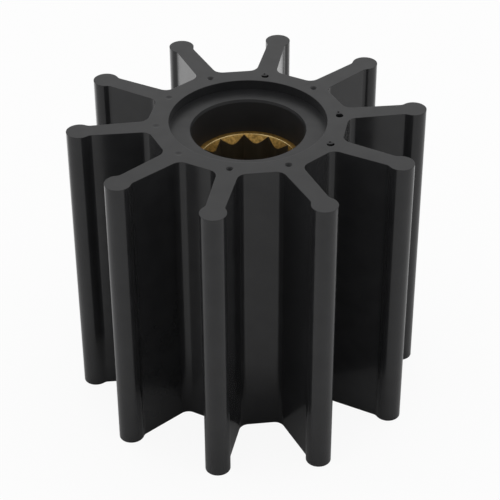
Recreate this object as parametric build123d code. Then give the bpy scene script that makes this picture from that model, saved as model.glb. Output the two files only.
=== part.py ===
from build123d import *
import math
import os

# Flexible impeller of a sea water pump: one rubber moulding, a hub with ten straight vanes,
# moulded round a brass insert that the pump's splined shaft drives.
# Sizes are in millimetres and angles in degrees. +Z is the turning axis, the origin is the
# middle of the lower end face, and the first vane points along +X.

# Overall size of the rubber, as it lies unbent
vane_count = 10
tip_radius = 47.5
width = 82.5

# Section of the hub and the vanes: the hub has a flat between each two vanes,
# and hub_apothem is the distance from the axis to a flat
hub_apothem = 25.8
root_thickness = 5.5
neck_thickness = 4.7
bulb_radius = 3.4
root_fillet = 2.8
neck_fillet = 2.0

# Brass insert, bonded into the hub and the same depth from both ends
insert_radius = 16.5
insert_depth = 12.2

# Spline through the insert: V grooves between low teeth with rounded crests
tooth_count = 12
spline_major_radius = 13.0
groove_angle = 120
tooth_round = 4.1
spline_turn = -1.9
mouth_ring = 0.1
mouth_angle = 30

# Recess and drafted bore that the mould leaves at each end of the hub
recess_radius = 20.8
recess_depth = 2.7
lip_width = 0.3
lip_depth = 0.7
bore_draft = 3.7
insert_lap = 2.1

# Gate marks on the upper end face, one at each vane from the one on +X on. Where the number is
# positive, a stub with a pore in it is left, and a crescent of that length is torn out beside it,
# towards -Y. Where it is negative, the stub is torn out too and leaves a hollow of that depth.
gate_inset = 1.7
gate_radius = 1.0
pore_radius = 0.3
pore_depth = 0.5
tear_slope = 0.75
gate_tears = (1.8, -0.3, 1.1, -0.3, -0.12, -0.08, -0.1, -0.35, -0.45, 1.0)

# How far a cutting solid stands out of the face that it opens
overshoot = 1.0


def distance_from_axis(point):
    return math.hypot(point.X, point.Y)


def polar(radius, angle):
    """The point at this distance and angle from the axis."""
    return (radius * math.cos(math.radians(angle)), radius * math.sin(math.radians(angle)))


def vane_outline():
    """A vane along +X: a web that thins towards its tip and ends in a round bulb."""
    bulb_x = tip_radius - bulb_radius
    start_x = hub_apothem - root_thickness
    taper = (root_thickness - neck_thickness) / (bulb_x - hub_apothem)
    start = root_thickness / 2 + taper / 2 * (hub_apothem - start_x)
    end = neck_thickness / 2
    web = make_face(Polyline((start_x, -start), (bulb_x, -end), (bulb_x, end), (start_x, start), close=True))
    return web + Pos(bulb_x, 0) * Circle(bulb_radius)


def body_section():
    """The star that the rubber has all along its width, with its inner corners rounded."""
    section = RegularPolygon(hub_apothem, vane_count, major_radius=False)
    for turn in PolarLocations(0, vane_count):
        section += turn * vane_outline()
    bulb_start = tip_radius - 2 * bulb_radius
    roots = [v for v in section.vertices() if distance_from_axis(v) < bulb_start]
    section = fillet(roots, root_fillet)
    necks = [v for v in section.vertices() if distance_from_axis(v) > bulb_start]
    return fillet(necks, neck_fillet)


def end_core():
    """What the mould's core takes out of the lower end: the recess, a bevelled lip, the bore."""
    seat_radius = insert_radius - insert_lap
    bore_start = recess_depth + lip_depth
    mouth_radius = seat_radius + (insert_depth - bore_start) * math.tan(math.radians(bore_draft))
    outline = Polyline(
        (0, -overshoot),
        (recess_radius, -overshoot),
        (recess_radius, recess_depth),
        (mouth_radius + lip_width, recess_depth),
        (mouth_radius, bore_start),
        (seat_radius, insert_depth),
        (0, insert_depth),
        close=True,
    )
    return revolve(Plane.XZ * make_face(outline), Axis.Z)


def torn_crescent(tear):
    """The crescent torn out beside a stub, and the pore in the stub."""
    stub = Pos(0, tear / 2)
    crescent = Pos(0, -tear / 2) * Circle(gate_radius) - stub * Circle(gate_radius)
    return extrude(crescent, -tear_slope * tear) + stub * extrude(Circle(pore_radius), -pore_depth)


def torn_hollow(depth):
    """The ball that leaves a round hollow of this depth, as wide as a gate."""
    ball_radius = (gate_radius**2 + depth**2) / (2 * depth)
    return Pos(0, 0, ball_radius - depth) * Sphere(ball_radius)


def gate_marks():
    """The ring of gate marks, each on its vane's middle line near the rim of the hub."""
    places = PolarLocations(hub_apothem - gate_inset, vane_count, rotate=False)
    marks = [torn_crescent(tear) if tear > 0 else torn_hollow(-tear) for tear in gate_tears]
    return [Pos(0, 0, width) * place * mark for place, mark in zip(places, marks)]


def insert_blank():
    """The insert before it is cut inside: a plain brass cylinder."""
    return Pos(0, 0, insert_depth) * extrude(Circle(insert_radius), width - 2 * insert_depth)


def spline_section():
    """The hole through the insert, seen along the axis."""
    pitch = 360 / tooth_count
    crest_radius = spline_major_radius * math.sin(math.radians(groove_angle / 2))
    crest_radius /= math.sin(math.radians(groove_angle / 2 + pitch / 2))
    points = []
    for tooth in range(tooth_count):
        points.append(polar(spline_major_radius, tooth * pitch))
        points.append(polar(crest_radius, (tooth + 0.5) * pitch))
    star = make_face(Polyline(*points, close=True))
    crests = [v for v in star.vertices() if distance_from_axis(v) < (spline_major_radius + crest_radius) / 2]
    return Rot(0, 0, spline_turn) * fillet(crests, tooth_round)


def mouth_cone():
    """The lead-in bevel at the insert's lower end, as a cone that points up the axis."""
    radius = spline_major_radius + mouth_ring
    height = radius / math.tan(math.radians(mouth_angle))
    cone = Cone(radius, 0, height, align=(Align.CENTER, Align.CENTER, Align.MIN))
    return Pos(0, 0, insert_depth) * cone


def both_ends(tool):
    """The same cut at the lower end and, turned over, at the upper end."""
    return [tool, mirror(tool, about=Plane.XY.offset(width / 2))]


def rubber_body():
    """The moulding: the star with its ends cored out, set round the insert."""
    return extrude(body_section(), width) - insert_blank() - both_ends(end_core()) - gate_marks()


def spline_insert():
    """The insert, splined from end to end, with a lead-in at each mouth."""
    return insert_blank() - extrude(spline_section(), width) - both_ends(mouth_cone())


os.makedirs("parts", exist_ok=True)
export_step(rubber_body(), "parts/rubber_body.step")
export_step(spline_insert(), "parts/spline_insert.step")
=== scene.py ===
import math

import bpy
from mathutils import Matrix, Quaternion, Vector


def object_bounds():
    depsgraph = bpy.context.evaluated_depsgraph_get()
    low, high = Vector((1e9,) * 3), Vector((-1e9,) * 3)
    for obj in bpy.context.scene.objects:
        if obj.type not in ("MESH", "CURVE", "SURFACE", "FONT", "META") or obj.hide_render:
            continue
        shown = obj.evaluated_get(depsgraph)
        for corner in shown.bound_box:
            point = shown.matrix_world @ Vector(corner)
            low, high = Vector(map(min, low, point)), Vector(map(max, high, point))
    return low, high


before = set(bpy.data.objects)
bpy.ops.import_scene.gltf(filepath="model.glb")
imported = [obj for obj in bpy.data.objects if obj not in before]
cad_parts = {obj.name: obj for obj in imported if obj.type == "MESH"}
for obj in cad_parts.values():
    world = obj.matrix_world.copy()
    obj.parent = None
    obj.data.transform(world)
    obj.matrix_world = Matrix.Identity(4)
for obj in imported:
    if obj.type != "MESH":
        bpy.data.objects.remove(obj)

cad_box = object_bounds()


# The rubber body: the hub with its ten vanes, in one piece of black nitrile rubber, hot pressed
# in a steel mould round the insert. The polished mould leaves a satin skin that waves faintly
# over the flanks, is duller on the end faces and in the bore, and has a small break on its edges.
black_rubber = (0.0160, 0.0162, 0.0170, 1)
bloomed_rubber = (0.0195, 0.0197, 0.0207, 1)
bloom_size = 0.006
rubber_ior = 1.42
cloud_size = 0.0035
flank_roughness = (0.15, 0.20)
end_roughness = (0.31, 0.40)
end_facing = (0.3, 0.8)
bore_radius = 0.0154
bore_roughness = 0.5
edge_break = 0.0002
edge_reach = 0.0012
edge_samples = 6
wave_size = 0.015
wave_height = 0.000008
grain_size = 0.0006
grain_height = 0.0000012
lump_range = (0.3, 0.7)
tone_range = (0.35, 0.65)
bottom, top = cad_box[0][2], cad_box[1][2]
half_width = (top - bottom) / 2

# The gate marks, where the sprues tore off: how torn each is, from the one at the first vane on.
# Torn rubber is rough and hardly shines.
gate_wear = (0.5, 0.8, 0.35, 0.7, 0.45, 0.3, 0.3, 1.0, 1.0, 0.45)
gate_circle = 0.0241
gate_reach = (0.0008, 0.0013)
ragged_size = 0.0005
ragged_depth = 0.0006
torn_roughness = 0.75
torn_shine = 0.02
skin_shine = 0.5


def new_finish(name):
    """A new material with its node tree and its shader."""
    finish = bpy.data.materials.new(name)
    finish.use_nodes = True
    tree = finish.node_tree
    return finish, tree, tree.nodes["Principled BSDF"]


def feed(tree, value, socket):
    """Gives a socket its value, which is another node's output or a plain number or colour."""
    if isinstance(value, bpy.types.NodeSocket):
        tree.links.new(value, socket)
    else:
        socket.default_value = value


def calculated(tree, operation, *values):
    """The result of this operation on the values."""
    node = tree.nodes.new("ShaderNodeMath")
    node.operation = operation
    for value, socket in zip(values, node.inputs):
        feed(tree, value, socket)
    return node.outputs["Value"]


def measured(tree, operation, first, second, result="Value"):
    """The result of this operation on two places or directions."""
    node = tree.nodes.new("ShaderNodeVectorMath")
    node.operation = operation
    feed(tree, first, node.inputs[0])
    feed(tree, second, node.inputs[1])
    return node.outputs[result]


def object_place(tree):
    """Where a point of the piece lies, in metres."""
    return tree.nodes.new("ShaderNodeTexCoord").outputs["Object"]


def along(tree, place, axis):
    """How far a place lies along this axis."""
    split = tree.nodes.new("ShaderNodeSeparateXYZ")
    tree.links.new(place, split.inputs["Vector"])
    return split.outputs[axis]


def from_axis(tree, place):
    """How far a place lies from the turning axis."""
    flat = measured(tree, "MULTIPLY", place, (1, 1, 0), "Vector")
    return measured(tree, "DISTANCE", flat, (0, 0, 0))


def mottle(tree, place, lump, detail):
    """A cloudy pattern from 0 to 1 with lumps of about this size."""
    noise = tree.nodes.new("ShaderNodeTexNoise")
    noise.inputs["Scale"].default_value = 1 / lump
    noise.inputs["Detail"].default_value = detail
    tree.links.new(place, noise.inputs["Vector"])
    return noise.outputs["Fac"]


def spread(tree, pattern, low, high, source=lump_range):
    """The pattern's source range, stretched to run from low to high."""
    ranged = tree.nodes.new("ShaderNodeMapRange")
    ranged.inputs["From Min"].default_value = source[0]
    ranged.inputs["From Max"].default_value = source[1]
    ranged.inputs["To Min"].default_value = low
    ranged.inputs["To Max"].default_value = high
    tree.links.new(pattern, ranged.inputs["Value"])
    return ranged.outputs["Result"]


def two_tone(tree, pattern, first, second):
    """A colour that passes from the first to the second as the pattern rises."""
    ramp = tree.nodes.new("ShaderNodeValToRGB")
    for element, position, colour in zip(ramp.color_ramp.elements, tone_range, (first, second)):
        element.position = position
        element.color = colour
    tree.links.new(pattern, ramp.inputs["Fac"])
    return ramp.outputs["Color"]


def either(tree, choice, first, second, kind="FLOAT"):
    """The first number or colour where the choice is 0, and the second where it is 1."""
    mix = tree.nodes.new("ShaderNodeMix")
    mix.data_type = kind
    feed(tree, choice, mix.inputs["Factor"])
    feed(tree, first, mix.inputs["A"])
    feed(tree, second, mix.inputs["B"])
    return mix.outputs["Result"]


def faces_end(tree, facing_range):
    """1 where the surface faces up or down the axis, and 0 where it stands along it."""
    facing = tree.nodes.new("ShaderNodeTexCoord").outputs["Normal"]
    return spread(tree, calculated(tree, "ABSOLUTE", along(tree, facing, "Z")), 0, 1, facing_range)


def soft_edges(tree, radius):
    """The surface's normal with its edges rounded by this radius."""
    edge = tree.nodes.new("ShaderNodeBevel")
    edge.samples = edge_samples
    feed(tree, radius, edge.inputs["Radius"])
    return edge.outputs["Normal"]


def raised(tree, pattern, height, normal):
    """The surface's normal after the pattern lifts it by up to this height."""
    bump = tree.nodes.new("ShaderNodeBump")
    bump.inputs["Strength"].default_value = 1
    bump.inputs["Distance"].default_value = height
    tree.links.new(pattern, bump.inputs["Height"])
    tree.links.new(normal, bump.inputs["Normal"])
    return bump.outputs["Normal"]


def nearest_gate(tree, place):
    """How torn the nearest gate mark is, from 0 to 1, and the distance from its middle."""
    step = 2 * math.pi / len(gate_wear)
    angle = calculated(tree, "ARCTAN2", along(tree, place, "Y"), along(tree, place, "X"))
    nearest = calculated(tree, "SNAP", calculated(tree, "ADD", angle, step / 2), step)
    middle = tree.nodes.new("ShaderNodeCombineXYZ")
    for axis, ratio in (("X", "COSINE"), ("Y", "SINE")):
        side = calculated(tree, "MULTIPLY", calculated(tree, ratio, nearest), gate_circle)
        tree.links.new(side, middle.inputs[axis])
    middle.inputs["Z"].default_value = top
    turn = calculated(tree, "FRACT", calculated(tree, "DIVIDE", nearest, 2 * math.pi))
    wear = tree.nodes.new("ShaderNodeValToRGB")
    wear.color_ramp.interpolation = "CONSTANT"
    while len(wear.color_ramp.elements) < len(gate_wear):
        wear.color_ramp.elements.new(1)
    for number, (element, level) in enumerate(zip(wear.color_ramp.elements, gate_wear)):
        element.position = max(0, (number - 0.5) / len(gate_wear))
        element.color = (level, level, level, 1)
    tree.links.new(turn, wear.inputs["Fac"])
    return wear.outputs["Color"], measured(tree, "DISTANCE", place, middle.outputs["Vector"])


rubber, tree, shader = new_finish("moulded_rubber")
place = object_place(tree)
shader.inputs["IOR"].default_value = rubber_ior
bloom = two_tone(tree, mottle(tree, place, bloom_size, detail=3), black_rubber, bloomed_rubber)
tree.links.new(bloom, shader.inputs["Base Color"])

wear, distance = nearest_gate(tree, place)
tatters = mottle(tree, place, ragged_size, detail=2)
ragged = calculated(tree, "MULTIPLY_ADD", tatters, ragged_depth, distance)
torn = calculated(tree, "MULTIPLY", wear, spread(tree, ragged, 1, 0, gate_reach))
tree.links.new(spread(tree, torn, skin_shine, torn_shine, (0, 1)), shader.inputs["Specular IOR Level"])

clouds = mottle(tree, place, cloud_size, detail=4)
flank = spread(tree, clouds, *flank_roughness)
end_face = spread(tree, clouds, *end_roughness)
in_bore = calculated(tree, "LESS_THAN", from_axis(tree, place), bore_radius)
roughness = either(tree, faces_end(tree, end_facing), flank, end_face)
roughness = calculated(tree, "MAXIMUM", roughness, calculated(tree, "MULTIPLY", in_bore, bore_roughness))
roughness = calculated(tree, "MAXIMUM", roughness, calculated(tree, "MULTIPLY", torn, torn_roughness))
tree.links.new(roughness, shader.inputs["Roughness"])

from_middle = calculated(tree, "SUBTRACT", along(tree, place, "Z"), bottom + half_width)
near_end = (half_width - edge_reach, half_width - edge_reach / 2)
broken = spread(tree, calculated(tree, "ABSOLUTE", from_middle), 0, edge_break, near_end)
skin = soft_edges(tree, broken)
skin = raised(tree, mottle(tree, place, wave_size, detail=1), wave_height, skin)
skin = raised(tree, mottle(tree, place, grain_size, detail=2), grain_height, skin)
tree.links.new(skin, shader.inputs["Normal"])
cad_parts["rubber_body"].data.materials.clear()
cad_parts["rubber_body"].data.materials.append(rubber)


# The spline insert: the brass sleeve that the shaft drives, turned from bar, faced and bevelled
# at both mouths and then broached with twelve V grooves. Only the tooth ends catch the light. Along
# the rim of the mouth a bright band is painted, partly rubbed brass and partly a painted highlight,
# and the flat ring outside it is darker towards the rubber.
bright_brass = (0.68, 0.42, 0.120, 1)
dull_brass = (0.34, 0.205, 0.060, 1)
tarnish_size = 0.0007
turned_roughness = (0.36, 0.50)
turned_facing = (0.2, 0.4)
ring_roughness = 0.62
ring_facing = (0.8, 0.9)
# The flat ring outside the rim is darker towards the rubber, by up to this much over these distances from
# the axis.
darker_ring_reach = (0.0132, 0.0142)
ring_darkening = 0.8
# A bright band along the rim of the mouth, partly rubbed brass and partly a painted highlight, broken
# into lengths by a pattern.
rubbed_and_highlit_brass = (0.92, 0.72, 0.36, 1)
rim_roughness = 0.3
rim_radius = 0.0131
rim_reach = (0.00002, 0.00016)
rubbed_and_lit_length = 0.007
rubbed_and_lit_range = (0.42, 0.55)
brass_edge = 0.0003

# The walls of the grooves carry the broach's fine streaks along the axis, under a film of oil.
oiled_brass = (0.36, 0.31, 0.23, 1)
broached_roughness = (0.38, 0.50)
streak_width = 0.0003
streak_length = 0.012
streak_depth = 0.000003
score_width = 0.0006


def stretched(tree, place, across, length):
    """The place with its distances along the axis counted less, so that a pattern draws out."""
    mapping = tree.nodes.new("ShaderNodeMapping")
    mapping.inputs["Scale"].default_value = (1, 1, across / length)
    tree.links.new(place, mapping.inputs["Vector"])
    return mapping.outputs["Vector"]


brass, tree, shader = new_finish("machined_brass")
place = object_place(tree)
radius = from_axis(tree, place)
streaks = stretched(tree, place, streak_width, streak_length)
shader.inputs["Metallic"].default_value = 1

turned = faces_end(tree, turned_facing)
# The flat ring is made darker towards the rubber, on top of the tarnish.
darker_to_rubber = spread(tree, radius, 0, ring_darkening, darker_ring_reach)
tarnish_and_darkening = calculated(tree, "MAXIMUM", mottle(tree, place, tarnish_size, detail=5), darker_to_rubber)
# Painted highlight: the band along the rim is bright and smooth, in lengths, partly as rubbed brass.
from_rim = calculated(tree, "ABSOLUTE", calculated(tree, "SUBTRACT", radius, rim_radius))
rubbed_and_lit_lengths = spread(tree, mottle(tree, place, rubbed_and_lit_length, detail=1), 0, 1, rubbed_and_lit_range)
rubbed_and_highlit_rim = calculated(tree, "MULTIPLY", turned, spread(tree, from_rim, 1, 0, rim_reach))
rubbed_and_highlit_rim = calculated(tree, "MULTIPLY", rubbed_and_highlit_rim, rubbed_and_lit_lengths)
colour = either(tree, turned, oiled_brass, two_tone(tree, tarnish_and_darkening, bright_brass, dull_brass), "RGBA")
colour = either(tree, rubbed_and_highlit_rim, colour, rubbed_and_highlit_brass, "RGBA")
tree.links.new(colour, shader.inputs["Base Color"])

broached = spread(tree, mottle(tree, streaks, score_width, detail=4), *broached_roughness)
roughness = either(tree, turned, broached, spread(tree, tarnish_and_darkening, *turned_roughness))
ring = calculated(tree, "MULTIPLY", faces_end(tree, ring_facing), ring_roughness)
roughness = calculated(tree, "MAXIMUM", roughness, ring)
roughness = calculated(tree, "MINIMUM", roughness, spread(tree, rubbed_and_highlit_rim, 1, rim_roughness, (0, 1)))
tree.links.new(roughness, shader.inputs["Roughness"])

cut = soft_edges(tree, brass_edge)
cut = raised(tree, mottle(tree, streaks, streak_width, detail=2), streak_depth, cut)
tree.links.new(cut, shader.inputs["Normal"])
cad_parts["spline_insert"].data.materials.clear()
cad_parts["spline_insert"].data.materials.append(brass)


# The floor: a pale matt table top that runs far out past the view, so that it is also the
# background. It shows white to the camera with a faint shadow, and is greyer between the vanes, where
# shade is painted into its colour. It is mirrored white where it is well behind the object, and on
# the left mirrored rays see it glow brighter than white, a painted reflection.
floor_size = 6
floor_grey = (0.93, 0.93, 0.93)
floor_roughness = 0.9
# Painted shade: how grey the floor's colour gets close round the axis, and the distances from the axis
# over which it fades out.
shade = 0.7
shade_reach = (0.025, 0.05)
shown_white = 0.92
mirrored_from = (0.05, 0.12)
# A painted reflection: on its left behind the object the floor glows brighter than white in mirrored
# rays, though it is no lamp.
painted_reflection_glow = 1.45
painted_reflection_reach = (-0.09, -0.03)

bpy.ops.object.select_all(action="DESELECT")
bpy.ops.mesh.primitive_plane_add(size=floor_size)
floor = bpy.context.object
floor.name = "floor"
paper, tree, shader = new_finish("floor_paper")
place = object_place(tree)
shader.inputs["Roughness"].default_value = floor_roughness
shader.inputs["Specular IOR Level"].default_value = 0
# Painted shade: the floor's colour is greyer close round the axis, between the vanes.
shaded = spread(tree, from_axis(tree, place), shade, 1, shade_reach)
tree.links.new(measured(tree, "MULTIPLY", shaded, floor_grey, "Vector"), shader.inputs["Base Color"])

white = tree.nodes.new("ShaderNodeEmission")
rays = tree.nodes.new("ShaderNodeLightPath")
seen = calculated(tree, "MULTIPLY", rays.outputs["Is Camera Ray"], shown_white)
mirrored = calculated(tree, "MAXIMUM", rays.outputs["Is Glossy Ray"], rays.outputs["Is Transmission Ray"])
behind = spread(tree, along(tree, place, "Y"), 0, 1, mirrored_from)
# Painted reflection: left of the axis, mirrored rays see the floor glow up to this much brighter than
# white.
painted_reflection_fade = spread(tree, along(tree, place, "X"), painted_reflection_glow, 1, painted_reflection_reach)
glow = calculated(tree, "MAXIMUM", calculated(tree, "MULTIPLY", mirrored, painted_reflection_fade), 1)
tree.links.new(glow, white.inputs["Strength"])
blend = tree.nodes.new("ShaderNodeMixShader")
tree.links.new(calculated(tree, "MULTIPLY_ADD", mirrored, behind, seen), blend.inputs["Fac"])
tree.links.new(shader.outputs["BSDF"], blend.inputs[1])
tree.links.new(white.outputs["Emission"], blend.inputs[2])
tree.links.new(blend.outputs["Shader"], tree.nodes["Material Output"].inputs["Surface"])
floor.data.materials.append(paper)


# The light: a white room all round, as in a light tent, that is darker where its front is open
# for the camera. The camera itself sees it plain white.
room_light = 0.9
front_light = 0.6
front_azimuth = -97
front_elevation = 28
front_spread = (25, 60)


def direction(azimuth, elevation):
    """The unit vector that points this way, with both angles in degrees."""
    around, up = math.radians(azimuth), math.radians(elevation)
    return Vector((math.cos(up) * math.cos(around), math.cos(up) * math.sin(around), math.sin(up)))


room = bpy.data.worlds.new("room")
room.use_nodes = True
tree = room.node_tree
towards = tree.nodes.new("ShaderNodeTexCoord").outputs["Generated"]
frontness = measured(tree, "DOT_PRODUCT", towards, direction(front_azimuth, front_elevation))
inner, outer = [math.cos(math.radians(angle)) for angle in front_spread]
strength = spread(tree, frontness, room_light, front_light, (outer, inner))
seen = tree.nodes.new("ShaderNodeLightPath").outputs["Is Camera Ray"]
tree.links.new(calculated(tree, "MAXIMUM", strength, seen), tree.nodes["Background"].inputs["Strength"])
tree.nodes["Background"].inputs["Color"].default_value = (1, 1, 1, 1)
bpy.context.scene.world = room
bpy.context.scene.view_settings.view_transform = "Standard"


# The camera: a long lens that looks down at the upper end from in front, and aims a little to
# the right of the object's middle and below it.
view_azimuth = -96.87
view_elevation = 35.344
view_distance = 0.4677
aim_right = 0.000378
aim_down = 0.000398
camera_roll = -0.2487
film_width = 36
lens_length = 122.2
nearest_view = 0.01

outward = direction(view_azimuth, view_elevation)
right = direction(view_azimuth + 90, 0)
middle = Vector((0, 0, bottom + half_width))
spot = middle + outward * view_distance
aim = middle + right * aim_right - outward.cross(right) * aim_down
lens = bpy.data.cameras.new("camera")
lens.sensor_width = film_width
lens.lens = lens_length
lens.clip_start = nearest_view
camera = bpy.data.objects.new("camera", lens)
camera.location = spot
camera.rotation_mode = "QUATERNION"
roll = Quaternion((0, 0, 1), math.radians(camera_roll))
camera.rotation_quaternion = (aim - spot).to_track_quat("-Z", "Y") @ roll
bpy.context.scene.collection.objects.link(camera)
bpy.context.scene.camera = camera
